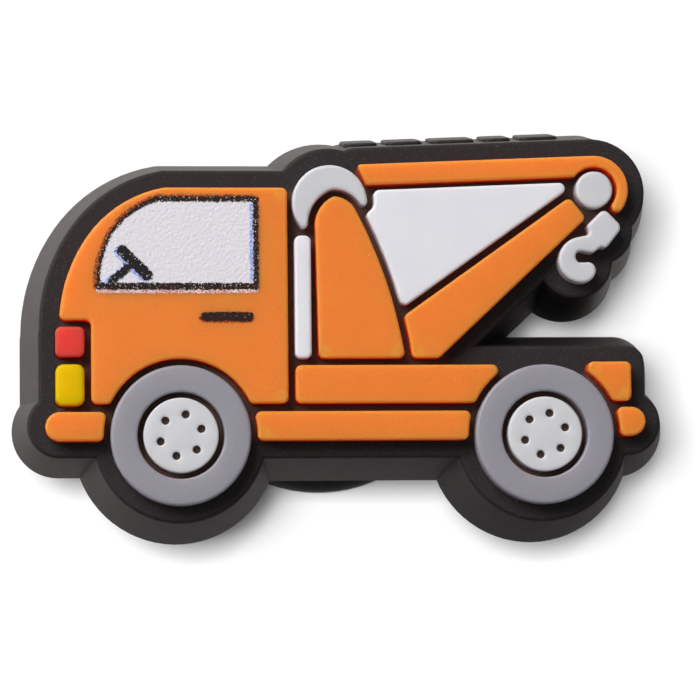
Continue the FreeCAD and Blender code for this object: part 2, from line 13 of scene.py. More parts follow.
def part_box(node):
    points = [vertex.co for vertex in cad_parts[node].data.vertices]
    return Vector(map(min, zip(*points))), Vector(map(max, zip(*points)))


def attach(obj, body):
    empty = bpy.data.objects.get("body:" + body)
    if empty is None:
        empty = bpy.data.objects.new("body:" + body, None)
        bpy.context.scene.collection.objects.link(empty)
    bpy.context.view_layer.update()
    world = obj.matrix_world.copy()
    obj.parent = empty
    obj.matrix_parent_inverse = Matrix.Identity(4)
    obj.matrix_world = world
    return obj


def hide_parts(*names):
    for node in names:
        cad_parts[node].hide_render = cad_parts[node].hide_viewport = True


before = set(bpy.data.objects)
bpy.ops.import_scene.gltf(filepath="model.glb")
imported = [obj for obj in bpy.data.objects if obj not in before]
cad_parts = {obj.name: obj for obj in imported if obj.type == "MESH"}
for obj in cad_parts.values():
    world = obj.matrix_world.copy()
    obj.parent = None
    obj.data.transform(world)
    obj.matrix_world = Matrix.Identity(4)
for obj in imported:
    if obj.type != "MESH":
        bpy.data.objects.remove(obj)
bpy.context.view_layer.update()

bl_info = {
    "name": "Recovery truck charm",
    "version": (1, 0, 0),
    "blender": (4, 5, 0),
    "location": "View3D > Sidebar > Charm",
    "description": "Dresses the packed model of a soft shoe charm shaped as a recovery truck",
    "category": "Object",
}

MM = 0.001
BODY = "root"

# The top of the coloured pieces, on which the prints lie
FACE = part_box("cab_panel")[1].z

# Levels of the ink films above the face: each colour of ink is printed over the last
BROWN_LEVELS = (0.0 * MM, 0.010 * MM)
WHITE_LEVELS = (0.004 * MM, 0.024 * MM)
BLUE_LEVELS = (0.020 * MM, 0.030 * MM)
BLACK_LEVELS = (0.012 * MM, 0.044 * MM)
STEERING_LEVELS = (0.024 * MM, 0.066 * MM)

# How far light spreads in soft rubber, and how many times that far red, green and blue go
SUBSURFACE_REACH = 0.30 * MM
EVEN_REACH = (1.0, 1.0, 1.0)
ORANGE_REACH = (5.0, 1.2, 0.4)

# Patterns of the rubber: its soft patches of colour, the fine grain that the matt tool gave
# it, and the broad unevenness under that, with its relief beside the fine grain's. The grain
# of such a tool, as a rule some 0.03 mm, is finer than the picture shows, and is drawn coarser
MOTTLE_SIZE = 1.4 * MM
FINE_GRAIN = 0.09 * MM
BROAD_GRAIN = 0.55 * MM
BROAD_RELIEF = 1.6

# Patterns of the ink: its patches of colour, and the tooth that the screen's mesh left
INK_MOTTLE = 0.16 * MM
INK_TOOTH = 0.12 * MM

# Noise seldom leaves this range, which is spread over the whole of what the noise drives
NOISE_LOW, NOISE_HIGH = 0.3, 0.7

# How far the roughness swings about its middle: on the face, on the walls and in ink
FACE_SWING, WALL_SWING, INK_SWING = 0.05, 0.015, 0.06

# Heights between which the rubber's look changes: down a coloured piece's sides, where
# painted shade deepens its colour, where the block's rim turns into its walls, and at the floor
# of the gaps between the pieces, below which their painted light fades out
SIDE_TOP, SIDE_DEEP = FACE - 0.07 * MM, FACE - 0.16 * MM
RIM_FOOT, WALL_TOP = FACE - 1.05 * MM, FACE - 1.25 * MM
GAP_FLOOR, GAP_FOOT = FACE - 1.30 * MM, FACE - 1.50 * MM

# How far a spot's surroundings count for a painted tint, and the shares of them that are open
# where there is none of it and all of it: for the painted light in the narrow gaps, and for
# the painted light and shade inwards from a thin edge. That many rays look for them
GAP_LOOK, GAP_NONE, GAP_FULL = 1.0 * MM, 0.40, 0.08
EDGE_LOOK, EDGE_NONE, EDGE_FULL = 0.26 * MM, 1.0, 0.70
LOOK_RAYS = 8

PVC_IOR = 1.53
INK_IOR = 1.50

# Two places in a mesh count as the same level within this
NEAR = MM / 1000

# Edges sharper than these stay sharp on the lamps, the wheels and the films of ink
LAMP_CREASE, WHEEL_CREASE, FILM_CREASE = (math.radians(turn) for turn in (40, 35, 50))

# The red lamp's corners and the height of its crown, and those of the yellow one, which is
# rounder and fuller and has a softer edge. The rings of a crown stand this far apart
RED_CORNER, RED_CROWN = 0.27 * MM, 0.006 * MM
YELLOW_CORNER, YELLOW_CROWN = 0.34 * MM, 0.020 * MM
YELLOW_EDGE_SHARE = 1.3
CROWN_RING = 0.09 * MM
CORNER_STEPS, CUSHION_STEPS, CROWN_STEPS = 10, 7, 4

# Sides of the round walls, steps in their soft edges, and where the first bolt hole stands
TYRE_SIDES, HUB_SIDES, HOLE_SIDES = 128, 96, 28
LIP_STEPS = 6
FIRST_HOLE = math.radians(17)

# A hub's rim is as wide as this, and its dimples are painted dark from this depth down, partly
# for the black rubber behind and partly as painted shade
HUB_RIM, DIMPLE_TOP = 0.2 * MM, 0.05 * MM

# Sizes of the noises that fray an ink's edge, that break it into drops and that wrinkle
# the window's thick ink
FRAY_FINE, FRAY_BROAD = 0.05 * MM, 0.14 * MM
FRAY_BROAD_SHARE = 0.7
DROP = 0.038 * MM
DROP_SHIFT = Vector((9, 4, 2))
PORE = 0.12 * MM
PORE_FALL, PORE_RATIO, PORE_LAYERS = 0.6, 2.0, 3

# A print's faces that look up more than this are its top, and those less are its walls
UPWARD = 0.5

# The side of the paper, and the distances from the charm between which it fades to white
PAPER_SIZE = 6
WHITE_FROM, WHITE_TO = 0.04, 0.15

# How fast a level rises across the paper, for each metre to the right and to the back, and
# the levels between which the paper's painted shade, which the charm mirrors, goes from dark
# to pale
MIRRORED_SLOPE = (-8.0, 26.0, 0.0)
MIRRORED_DARK, MIRRORED_PALE = -0.52, 0.28

# The light from low down gives way to that from overhead between these shares of the sky
LOW_SKY, HIGH_SKY = 0.15, 0.60

# Where the two lamps stand, as seen from the charm, and how far away
SOFT_FROM = (-0.80, 0.80, 1.0)
OVER_FROM = (-0.20, 0.0, 1.0)
LAMP_DISTANCE = 0.60

# The photograph's camera, as solved from the charm's own planes and circles
CAMERA_PLACE = (-0.015487, -0.015856, 0.185384)
CAMERA_TURNS = (4.889, -5.220, -0.584)
CAMERA_FILM, CAMERA_LENS = 36, 205.714
CAMERA_NEAR, CAMERA_FAR = 0.005, 20


def linear(code):
    """A hex colour of the screen as linear red, green and blue."""
    shares = [int(code[place:place + 2], 16) / 255 for place in (1, 3, 5)]
    return tuple(s / 12.92 if s <= 0.04045 else ((s + 0.055) / 1.055) ** 2.4 for s in shares)


# Materials


def add(owner, kind, inputs=None, **settings):
    """Adds a node to a material or the world, sets it, and links or fills its inputs."""
    made = owner.node_tree.nodes.new("ShaderNode" + kind)
    for name, value in settings.items():
        setattr(made, name, value)
    for name, value in (inputs or {}).items():
        if isinstance(value, bpy.types.NodeSocket):
            owner.node_tree.links.new(value, made.inputs[name])
        elif isinstance(made.inputs[name].default_value, float):
            made.inputs[name].default_value = value
        else:
            size = len(made.inputs[name].default_value)
            made.inputs[name].default_value = (tuple(value) + (1.0,))[:size]
    return made


def fresh(name):
    """A material with an empty tree, and its object coordinates."""
    material = bpy.data.materials.new(name)
    material.use_nodes = True
    material.node_tree.nodes.clear()
    return material, add(material, "TexCoord").outputs["Object"]


def tinted(material, body, colour, value, none, full):
    """A colour tinted with another, as a value goes from none of it to the full tint."""
    share = add(material, "MapRange", {"Value": value, "From Min": none, "From Max": full})
    # A colour mix has its share at socket 0 and its two colours at sockets 6 and 7
    mix = add(material, "Mix", {0: share.outputs[0], 6: body, 7: colour}, data_type="RGBA")
    return mix.outputs[2]


def speckled(material, place, body, specks):
    """A colour with layers of small round specks. Each layer has the width of its cells, the
    radius of a speck, the share of the cells that have one, and its colour. Real dust is
    finer than the picture shows, and is drawn coarser."""
    for cell, radius, share, speck in specks:
        cells = add(material, "TexVoronoi", {"Vector": place, "Scale": 1 / cell})
        inside = add(
            material, "Math", {0: cells.outputs["Distance"], 1: radius / cell},
            operation="LESS_THAN",
        )
        chance = add(material, "SeparateColor", {"Color": cells.outputs["Color"]})
        chosen = add(material, "Math", {0: chance.outputs[0], 1: share}, operation="LESS_THAN")
        mask = add(
            material, "Math", {0: inside.outputs[0], 1: chosen.outputs[0]}, operation="MULTIPLY",
        )
        mix = add(material, "Mix", {0: mask.outputs[0], 6: body, 7: speck}, data_type="RGBA")
        body = mix.outputs[2]
    return body


def soft_pvc(
    name, colour, shade, specks, roughness, grain, shine, glow=1.0, reach=EVEN_REACH,
    walls=None, painted_gap_light=None, edge=None, painted_side_shade=None, hole=None,
):
    """Soft PVC, moulded against a matt steel tool. It gives the eye an even, rubbery
    colour with a fine grain, a little dust, and a faint glow at its thin edges from the light
    that spreads under its surface. Given their colours, it also takes painted light: a band
    along its thin edges, painted shade down its sides, painted light in its narrow gaps, and a
    dark in marked dimples that is partly the black rubber behind and partly painted shade."""
    material, place = fresh(name)
    mottle = add(material, "TexNoise", {
        "Vector": place, "Scale": 1 / MOTTLE_SIZE, "Detail": 3.0,
    })
    body = tinted(material, colour, shade, mottle.outputs["Fac"], NOISE_LOW, NOISE_HIGH)
    height = add(material, "SeparateXYZ", {0: place}).outputs["Z"]
    if painted_gap_light:
        # Painted light: where the surroundings close in, the narrow gaps are painted a lighter
        # brown, which stands for the light that reaches them through the coloured rubber. The
        # button's foot stands lower, and isn't tinted where it meets the paper
        around = add(material, "AmbientOcclusion", {"Distance": GAP_LOOK}, samples=LOOK_RAYS)
        deep = tinted(material, body, painted_gap_light, height, GAP_FOOT, GAP_FLOOR)
        body = tinted(material, body, deep, around.outputs["AO"], GAP_NONE, GAP_FULL)
    if edge:
        # Painted light and shade: a band inwards from the thin edges takes its own colour, a paler
        # glow on the orange and a dimmer tone on the lamps
        inward = add(
            material, "AmbientOcclusion", {"Distance": EDGE_LOOK},
            samples=LOOK_RAYS, inside=True, only_local=True,
        )
        body = tinted(material, body, edge, inward.outputs["AO"], EDGE_NONE, EDGE_FULL)
    if painted_side_shade:
        # Painted shade: down its sides the colour is deeper
        body = tinted(material, body, painted_side_shade, height, SIDE_TOP, SIDE_DEEP)
    if hole:
        # Painted dark in the marked dimples: partly the black rubber behind, partly painted shade
        marks = add(material, "Attribute", attribute_name="hole")
        body = tinted(material, body, hole, marks.outputs["Fac"], 0.0, 1.0)
    body = speckled(material, place, body, specks)
    fine = add(material, "TexNoise", {"Vector": place, "Scale": 1 / FINE_GRAIN}).outputs["Fac"]
    broad = add(material, "TexNoise", {"Vector": place, "Scale": 1 / BROAD_GRAIN}).outputs["Fac"]
    relief = add(
        material, "Math", {0: broad, 1: BROAD_RELIEF, 2: fine}, operation="MULTIPLY_ADD",
    )
    bump = add(material, "Bump", {
        "Height": relief.outputs[0], "Distance": grain, "Strength": 1.0,
    })
    tooth = add(material, "MapRange", {
        "Value": fine, "From Min": NOISE_LOW, "From Max": NOISE_HIGH,
        "To Min": roughness - FACE_SWING, "To Max": roughness + FACE_SWING,
    })
    if walls:
        # The walls slid along polished steel, and came out smoother than the face
        slid = add(material, "MapRange", {
            "Value": broad, "From Min": NOISE_LOW, "From Max": NOISE_HIGH,
            "To Min": walls - WALL_SWING, "To Max": walls + WALL_SWING,
        })
        tooth = add(material, "MapRange", {
            "Value": height, "From Min": WALL_TOP, "From Max": RIM_FOOT,
            "To Min": slid.outputs[0], "To Max": tooth.outputs[0],
        })
    shader = add(material, "BsdfPrincipled", subsurface_method="BURLEY", inputs={
        "Base Color": body,
        "Roughness": tooth.outputs[0],
        "Specular IOR Level": shine,
        "IOR": PVC_IOR,
        "Subsurface Weight": glow,
        "Subsurface Radius": reach,
        "Subsurface Scale": SUBSURFACE_REACH,
        "Normal": bump.outputs[0],
    })
    add(material, "OutputMaterial", {"Surface": shader.outputs[0]})
    return material


def ink(name, colour, shade, specks, grain=0.004 * MM, roughness=0.60, shine=0.25):
    """Screen ink on soft PVC, dried matt. It gives the eye a dull film with a fine
    tooth, broken by dots of the colours that lie under it."""
    material, place = fresh(name)
    mottle = add(material, "TexNoise", {
        "Vector": place, "Scale": 1 / INK_MOTTLE, "Detail": 3.0,
    })
    body = tinted(material, colour, shade, mottle.outputs["Fac"], NOISE_LOW, NOISE_HIGH)
    body = speckled(material, place, body, specks)
    tooth = add(material, "TexNoise", {
        "Vector": place, "Scale": 1 / INK_TOOTH, "Detail": 3.0,
    }).outputs["Fac"]
    rough = add(material, "MapRange", {
        "Value": tooth, "From Min": NOISE_LOW, "From Max": NOISE_HIGH,
        "To Min": roughness - INK_SWING, "To Max": roughness + INK_SWING,
    })
    bump = add(material, "Bump", {"Height": tooth, "Distance": grain, "Strength": 1.0})
    shader = add(material, "BsdfPrincipled", {
        "Base Color": body,
        "Roughness": rough.outputs[0],
        "Specular IOR Level": shine,
        "IOR": INK_IOR,
        "Normal": bump.outputs[0],
    })
    add(material, "OutputMaterial", {"Surface": shader.outputs[0]})
    return material


# Modelling


def only(*pieces):
    """Selects these pieces and nothing else, and makes the first of them active."""
    bpy.ops.object.select_all(action="DESELECT")
    for piece in pieces:
        piece.select_set(True)
    bpy.context.view_layer.objects.active = pieces[0]


def edit(piece, action="DESELECT"):
    """Opens a piece for editing, with all or nothing selected in it."""
    only(piece)
    bpy.ops.object.mode_set(mode="EDIT")
    bpy.ops.mesh.select_mode(type="VERT")
    bpy.ops.mesh.select_all(action=action)


def edit_faces(piece):
    """Opens a piece for editing with the faces selected that were marked in its mesh."""
    only(piece)
    marks = [face.select for face in piece.data.polygons]
    bpy.ops.object.mode_set(mode="EDIT")
    bpy.ops.mesh.select_mode(type="FACE")
    bpy.ops.mesh.select_all(action="DESELECT")
    bpy.ops.object.mode_set(mode="OBJECT")
    piece.data.polygons.foreach_set("select", marks)
    bpy.ops.object.mode_set(mode="EDIT")


def pick_edges(piece, level):
    """Selects the edges that lie at a level."""
    bpy.ops.mesh.select_mode(type="EDGE")
    bpy.ops.mesh.select_all(action="DESELECT")
    bpy.ops.object.mode_set(mode="OBJECT")
    there = [abs(vertex.co.z - level) < NEAR for vertex in piece.data.vertices]
    for line in piece.data.edges:
        if all(there[end] for end in line.vertices):
            line.select = True
    bpy.ops.object.mode_set(mode="EDIT")


def carry(centre, wide, high, rise):
    """Extrudes what is selected up or down, and draws it in or out about an upright axis."""
    bpy.ops.mesh.extrude_region_move(TRANSFORM_OT_translate={"value": (0, 0, rise)})
    bpy.ops.transform.resize(value=(wide, high, 1), center_override=(centre[0], centre[1], 0))


def close_up():
    """Turns the faces of the piece that is open outwards, and ends its editing."""
    bpy.ops.mesh.select_all(action="SELECT")
    bpy.ops.mesh.normals_make_consistent(inside=False)
    bpy.ops.object.mode_set(mode="OBJECT")


def new_piece(name):
    """The primitive that was just added, named, with its place moved into its mesh."""
    piece = bpy.context.active_object
    piece.name = name
    piece.data.name = name
    bpy.ops.object.transform_apply(location=True, rotation=True, scale=True)
    return piece


def dress(piece, material, slot, *nodes):
    """Gives a new piece its finish, and lets it ride on the charm in the place of its nodes."""
    piece.data.materials.clear()
    piece.data.materials.append(material)
    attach(piece, BODY)
    if nodes:
        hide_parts(*nodes)


def coat(material, *nodes):
    """Gives CAD nodes whose shape is right a finish."""
    for node in nodes:
        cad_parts[node].material_slots[0].material = material


# Settings


class CharmColours(bpy.types.PropertyGroup):
    """The colours of the moulded pieces"""

    black: FloatVectorProperty(
        name="Black", description="Colour of the backing and the peg",
        subtype="COLOR", default=linear("#1C1617"), min=0, max=1,
    )
    orange: FloatVectorProperty(
        name="Orange", description="Colour of the cab, the rails and the boom",
        subtype="COLOR", default=linear("#E87C28"), min=0, max=1,
    )
    red: FloatVectorProperty(
        name="Red", description="Colour of the upper lamp",
        subtype="COLOR", default=linear("#E03A30"), min=0, max=1,
    )
    yellow: FloatVectorProperty(
        name="Yellow", description="Colour of the lower lamp",
        subtype="COLOR", default=linear("#DFB400"), min=0, max=1,
    )
    white: FloatVectorProperty(
        name="White", description="Colour of the cable panel and the post",
        subtype="COLOR", default=linear("#DCDBE0"), min=0, max=1,
    )
    light_grey: FloatVectorProperty(
        name="Light grey", description="Colour of the hubs, the cap, the sheave and the hook",
        subtype="COLOR", default=linear("#C6C5C8"), min=0, max=1,
    )
    grey: FloatVectorProperty(
        name="Grey", description="Colour of the tyres",
        subtype="COLOR", default=linear("#8C8991"), min=0, max=1,
    )


class CharmSizes(bpy.types.PropertyGroup):
    """The sizes of what is modelled here"""

    hub_edge: FloatProperty(
        name="Hub edge", description="Radius of a hub's rounded edge",
        unit="LENGTH", default=0.08 * MM, min=0.02 * MM, max=0.3 * MM,
    )
    bolt_hole: FloatProperty(
        name="Bolt hole", description="Radius of the holes in a hub",
        unit="LENGTH", default=0.17 * MM, min=0.05 * MM, max=0.3 * MM,
    )
    bolt_flare: FloatProperty(
        name="Bolt hole flare", description="Radius of the soft edge round each hole",
        unit="LENGTH", default=0.08 * MM, min=0.01 * MM, max=0.2 * MM,
    )
    bolt_depth: FloatProperty(
        name="Bolt hole depth", description="Depth of the holes in a hub",
        unit="LENGTH", default=0.36 * MM, min=0.15 * MM, max=0.9 * MM,
    )
    bolt_circle: FloatProperty(
        name="Bolt circle", description="Radius of the circle on which the holes stand",
        unit="LENGTH", default=0.93 * MM, min=0.4 * MM, max=1.4 * MM,
    )
    bolt_count: IntProperty(
        name="Bolt holes", description="How many holes a hub has", default=6, min=3, max=12,
    )
    hub_gap: FloatProperty(
        name="Hub gap", description="Width of the ring between a hub and its tyre",
        unit="LENGTH", default=0.26 * MM, min=0.1 * MM, max=0.5 * MM,
    )
    tyre_edge: FloatProperty(
        name="Tyre edge", description="Radius of a tyre's rounded outer edge",
        unit="LENGTH", default=0.14 * MM, min=0.02 * MM, max=0.3 * MM,
    )
    tyre_lip: FloatProperty(
        name="Tyre lip", description="Radius of a tyre's rounded inner edge",
        unit="LENGTH", default=0.10 * MM, min=0.02 * MM, max=0.3 * MM,
    )
    lamp_edge: FloatProperty(
        name="Lamp edge", description="Radius of the soft edge round a lamp's top",
        unit="LENGTH", default=0.14 * MM, min=0.05 * MM, max=0.4 * MM,
    )
    peel: FloatProperty(
        name="Window relief", description="Height of the leathery relief of the window's ink",
        unit="LENGTH", default=0.011 * MM, min=0, max=0.03 * MM,
    )
    ragged: FloatProperty(
        name="Ragged edge", description="How far the edges of the ink stray",
        unit="LENGTH", default=0.045 * MM, min=0, max=0.1 * MM,
    )


class CharmStage(bpy.types.PropertyGroup):
    """The levels and widths of the lights"""

    world_level: FloatProperty(
        name="World", description="Level of the light from overhead", default=0.256, min=0, max=2,
    )
    horizon_level: FloatProperty(
        name="Horizon", description="Level of the light that comes in low from all sides",
        default=0.32, min=0, max=2,
    )
    soft_level: FloatProperty(
        name="Soft light", description="Level that the large lamp gives a face that looks up",
        default=0.87, min=0, max=2,
    )
    soft_width: FloatProperty(
        name="Soft light width", description="Side of the large square lamp",
        unit="LENGTH", default=0.42, min=0.01, max=2,
    )
    floor_level: FloatProperty(
        name="Floor light", description="Level that the lamp over the floor gives it",
        default=1.21, min=0, max=2,
    )
    floor_width: FloatProperty(
        name="Floor light width", description="Side of the square lamp over the floor",
        unit="LENGTH", default=0.14, min=0.01, max=2,
    )
    floor_lift: FloatProperty(
        name="Floor lift",
        description="Share of plain white that the camera sees in the floor far from the charm",
        default=1.0, min=0, max=1,
    )


# Pieces


class CHARM_OT_backing(bpy.types.Operator):
    """Finishes the black backing and the peg behind it"""

    bl_idname = "charm.backing"
    bl_label = "Backing and peg"

    def execute(self, context):
        black = context.scene.charm_colours.black
        specks = (
            (0.11 * MM, 0.030 * MM, 0.45, linear("#342E2D")),
            (0.30 * MM, 0.026 * MM, 0.30, linear("#4A4444")),
            (0.60 * MM, 0.022 * MM, 0.25, linear("#6E6866")),
        )
        # It gives the eye a dull, near-black face with paler dust, and walls with a dim sheen. Its
        # narrow gaps are painted a lighter brown, painted light for what reaches them through the
        # coloured rubber
        rubber = soft_pvc(
            "black_soft_pvc", black, linear("#1A1516"), specks,
            roughness=0.72, grain=0.006 * MM, shine=0.36, glow=0.0,
            walls=0.54, painted_gap_light=linear("#7E5A48"),
        )
        coat(rubber, "backing", "peg_neck", "peg_button")
        return {"FINISHED"}


class CHARM_OT_panels(bpy.types.Operator):
    """Finishes the flat coloured pieces of the cab, the bed and the crane"""

    bl_idname = "charm.panels"
    bl_label = "Coloured pieces"

    def execute(self, context):
        colours = context.scene.charm_colours
        dust = (
            (0.12 * MM, 0.032 * MM, 0.35, linear("#E27018")),
            (0.16 * MM, 0.030 * MM, 0.30, linear("#EE8634")),
            (0.70 * MM, 0.026 * MM, 0.14, linear("#F6B27A")),
            (1.30 * MM, 0.026 * MM, 0.16, linear("#A0501E")),
        )
        # It gives the eye a warm, even orange, with a painted paler glow at its edges and painted
        # shade that makes it redder down its sides
        orange = soft_pvc(
            "orange_soft_pvc", colours.orange, linear("#E57824"), dust,
            roughness=0.60, grain=0.0035 * MM, shine=0.30, reach=ORANGE_REACH,
            edge=linear("#E6882A"), painted_side_shade=linear("#DA4210"),
        )
        coat(
            orange, "cab_panel", "front_bumper", "rear_bumper", "lower_rail", "upper_rail",
            "rear_panel", "mast", "top_arm", "boom",
        )
        faint = ((1.20 * MM, 0.022 * MM, 0.15, linear("#C4C2C6")),)
        # It gives the eye a cool, matt white with next to no grain
        white = soft_pvc(
            "white_soft_pvc", colours.white, linear("#D9D8DE"), faint,
            roughness=0.66, grain=0.0025 * MM, shine=0.25,
        )
        coat(white, "cable_panel", "post")
        fine = ((1.00 * MM, 0.022 * MM, 0.15, linear("#B2B0B4")),)
        # It gives the eye a pale grey with a soft sheen
        light_grey = soft_pvc(
            "light_grey_soft_pvc", colours.light_grey, linear("#C2C1C6"), fine,
            roughness=0.54, grain=0.003 * MM, shine=0.5,
        )
        coat(light_grey, "crescent_cap", "sheave", "hook")
        return {"FINISHED"}


class CHARM_OT_lamps(bpy.types.Operator):
    """Models the two lamps in front of the cab, as small soft cushions of colour"""

    bl_idname = "charm.lamps"
    bl_label = "Lamps"

    def execute(self, context):
        colours = context.scene.charm_colours
        dust = ((0.80 * MM, 0.022 * MM, 0.25, linear("#F08A80")),)
        # It gives the eye a bright, even red, with painted shade that makes it dimmer along its
        # edges and darker down its sides
        red = soft_pvc(
            "red_soft_pvc", colours.red, linear("#DA362D"), dust,
            roughness=0.60, grain=0.004 * MM, shine=0.20, reach=ORANGE_REACH,
            edge=linear("#CC443A"), painted_side_shade=linear("#A81410"),
        )
        pollen = ((0.80 * MM, 0.022 * MM, 0.20, linear("#F2D860")),)
        # It gives the eye a full yellow, with painted shade that makes it dimmer along its edges
        # and amber down its sides
        yellow = soft_pvc(
            "yellow_soft_pvc", colours.yellow, linear("#D9AE00"), pollen,
            roughness=0.60, grain=0.003 * MM, shine=0.06, reach=ORANGE_REACH,
            edge=linear("#CFB404"), painted_side_shade=linear("#B86C08"),
        )
        edge = context.scene.charm_sizes.lamp_edge
        softer = edge * YELLOW_EDGE_SHARE
        self.cushion("red_lamp", red, "red_pvc", RED_CORNER, edge, RED_CROWN)
        self.cushion("yellow_lamp", yellow, "yellow_pvc", YELLOW_CORNER, softer, YELLOW_CROWN)
        return {"FINISHED"}

    def cushion(self, node, material, slot, corner, edge, crown):
        """A block with round corners, a broad soft edge and a slight crown."""
        low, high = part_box(node)
        middle, size = (low + high) / 2, high - low
        bpy.ops.object.select_all(action="DESELECT")
        bpy.ops.mesh.primitive_plane_add(size=1, location=(middle.x, middle.y, low.z))
        bpy.context.active_object.scale = (size.x, size.y, 1)
        piece = new_piece(node + "_cushion")
        edit(piece, "SELECT")
        bpy.ops.mesh.bevel(offset=corner, segments=CORNER_STEPS, affect="VERTICES")
        bpy.ops.mesh.select_mode(type="FACE")
        bpy.ops.mesh.select_all(action="SELECT")
        rings = [(0.0, high.z - crown - edge)]
        for step in range(1, CUSHION_STEPS + 1):
            turn = math.pi / 2 * step / CUSHION_STEPS
            level = high.z - crown - edge * (1 - math.sin(turn))
            rings.append((edge * (1 - math.cos(turn)), level))
        # The top is crowned, because soft rubber shrinks towards the middle of its mass
        for step in range(1, CROWN_STEPS + 1):
            level = high.z - crown * (1 - step / CROWN_STEPS) ** 2
            rings.append((edge + step * CROWN_RING, level))
        inset, level = 0.0, low.z
        for inward, height in rings:
            wide = (size.x - 2 * inward) / (size.x - 2 * inset)
            deep = (size.y - 2 * inward) / (size.y - 2 * inset)
            carry(middle, wide, deep, height - level)
            inset, level = inward, height
        close_up()
        bpy.ops.object.shade_smooth_by_angle(angle=LAMP_CREASE)
        dress(piece, material, slot, node)


class CHARM_OT_wheels(bpy.types.Operator):
    """Models the tyres and the hubs, with soft edges round the bolt holes"""

    bl_idname = "charm.wheels"
    bl_label = "Wheels"

    def execute(self, context):
        colours = context.scene.charm_colours
        dust = (
            (0.12 * MM, 0.032 * MM, 0.35, linear("#87848D")),
            (0.16 * MM, 0.030 * MM, 0.30, linear("#96939B")),
            (0.90 * MM, 0.024 * MM, 0.20, linear("#B9B6BE")),
            (1.30 * MM, 0.024 * MM, 0.12, linear("#6E6B70")),
        )
        # It gives the eye a cool grey with a soft sheen on its rounded edges
        grey = soft_pvc(
            "grey_soft_pvc", colours.grey, linear("#8A8790"), dust,
            roughness=0.50, grain=0.004 * MM, shine=0.58,
        )
        fine = ((1.20 * MM, 0.020 * MM, 0.12, linear("#B6B4B8")),)
        # It gives the eye a smooth pale grey, its dimples painted a dark brown that is partly the
        # black rubber behind them and partly painted shade
        hub = soft_pvc(
            "hub_soft_pvc", colours.light_grey, linear("#C9C9CD"), fine,
            roughness=0.54, grain=0.0025 * MM, shine=0.46, hole=linear("#705C52"),
        )
        for end in ("front", "rear"):
            dress(self.hub(context, end), hub, "light_grey_pvc", end + "_hub")
            dress(self.tyre(context, end), grey, "grey_pvc", end + "_tyre")
        return {"FINISHED"}

    def hub(self, context, end):
        """A disc with a soft edge and a ring of round dimples."""
        sizes = context.scene.charm_sizes
        low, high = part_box(end + "_hub")
        middle = (low + high) / 2
        radius = (high.x - low.x) / 2
        floor = high.z - sizes.bolt_depth
        walls = [(middle, radius, -sizes.hub_edge, HUB_SIDES, low.z)]
        for number in range(sizes.bolt_count):
            angle = FIRST_HOLE + number * math.tau / sizes.bolt_count
            place = Vector((math.cos(angle), math.sin(angle), 0)) * sizes.bolt_circle
            walls.append((middle + place, sizes.bolt_hole, sizes.bolt_flare, HOLE_SIDES, floor))
        piece = self.closed(end + "_hub_disc", walls, high.z, (high.z, floor, low.z))
        # The dimples are marked for their dark paint: partly the black rubber behind, partly
        # painted shade
        marks = piece.data.attributes.new("hole", "FLOAT", "POINT")
        for vertex, mark in zip(piece.data.vertices, marks.data):
            away = math.hypot(vertex.co.x - middle.x, vertex.co.y - middle.y)
            inside = away < radius - HUB_RIM and vertex.co.z < high.z - DIMPLE_TOP
            mark.value = 1.0 if inside else 0.0
        return piece

    def tyre(self, context, end):
        """A flat ring with a soft edge outside and a finer one inside."""
        sizes = context.scene.charm_sizes
        low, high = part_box(end + "_tyre")
        middle = (low + high) / 2
        hub_low, hub_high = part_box(end + "_hub")
        inner = (hub_high.x - hub_low.x) / 2 + sizes.hub_gap
        walls = (
            (middle, (high.x - low.x) / 2, -sizes.tyre_edge, TYRE_SIDES, low.z),
            (middle, inner, sizes.tyre_lip, HUB_SIDES, low.z),
        )
        return self.closed(end + "_tyre_ring", walls, high.z, (high.z, low.z))

    def closed(self, name, walls, top, levels):
        """Joins round walls into one piece and closes it at each level."""
        parts = [self.wall(*wall, top) for wall in walls]
        only(*parts)
        bpy.ops.object.join()
        piece = parts[0]
        piece.name = name
        piece.data.name = name
        edit(piece)
        for level in levels:
            pick_edges(piece, level)
            bpy.ops.mesh.fill(use_beauty=True)
        close_up()
        bpy.ops.object.shade_smooth_by_angle(angle=WHEEL_CREASE)
        return piece

    def wall(self, centre, radius, edge, count, foot, top):
        """A round wall from the top's soft edge down. A negative edge rounds outwards."""
        bpy.ops.object.select_all(action="DESELECT")
        bpy.ops.mesh.primitive_circle_add(
            vertices=count, radius=radius + edge, location=(centre[0], centre[1], top),
            fill_type="NOTHING",
        )
        piece = new_piece("wall")
        edit(piece, "SELECT")
        here, height = radius + edge, top
        for step in range(1, LIP_STEPS + 1):
            turn = math.pi / 2 * step / LIP_STEPS
            there = radius + edge * (1 - math.sin(turn))
            level = top - abs(edge) * (1 - math.cos(turn))
            carry(centre, there / here, there / here, level - height)
            here, height = there, level
        carry(centre, 1, 1, foot - height)
        bpy.ops.object.mode_set(mode="OBJECT")
        return piece


